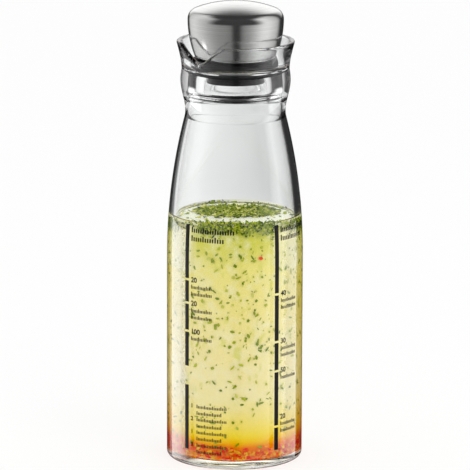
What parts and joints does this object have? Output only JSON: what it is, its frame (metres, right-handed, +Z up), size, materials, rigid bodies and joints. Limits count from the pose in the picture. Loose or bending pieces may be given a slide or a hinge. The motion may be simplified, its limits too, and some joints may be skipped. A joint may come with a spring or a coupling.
{
  "type": "salad dressing shaker",
  "caption": "Clear glass dressing bottle with a flared pouring collar, printed scale bars and a lift-out stopper under a domed steel cap.",
  "frame": {"origin": "centre of the bottle's foot, on the surface that it stands on", "axes": "+Z up along the bottle's axis to the cap, -Y through the pouring notch in the rim"},
  "size_m": [0.057, 0.0571, 0.1937],
  "materials": {
    "clear_glass": "polished",
    "black_ink": "printed",
    "dressing": "clear liquid",
    "herbs": "wet",
    "pepper_flakes": "wet",
    "satin_steel": "satin",
    "black_plastic": "moulded",
    "black_silicone": "moulded",
    "screw_steel": "machined"
  },
  "bodies": {
    "bottle": {"glass_bottle": "clear_glass", "printed_bars": "black_ink", "dressing": "dressing", "herb_layer": "herbs", "pepper_layer": "pepper_flakes"},
    "stopper": {"cap_shell": "satin_steel", "cap_core": "black_plastic", "seat_seal": "black_silicone", "stopper_plug": "black_plastic", "clamp_screw": "screw_steel", "screw_washer": "black_silicone", "plug_cover": "black_plastic"}
  },
  "joints": [
    {"name": "stopper_lift", "type": "slide", "parent": "bottle", "child": "stopper", "axis": [0, 0, 1], "range_m": [0, 0.04]}
  ]
}
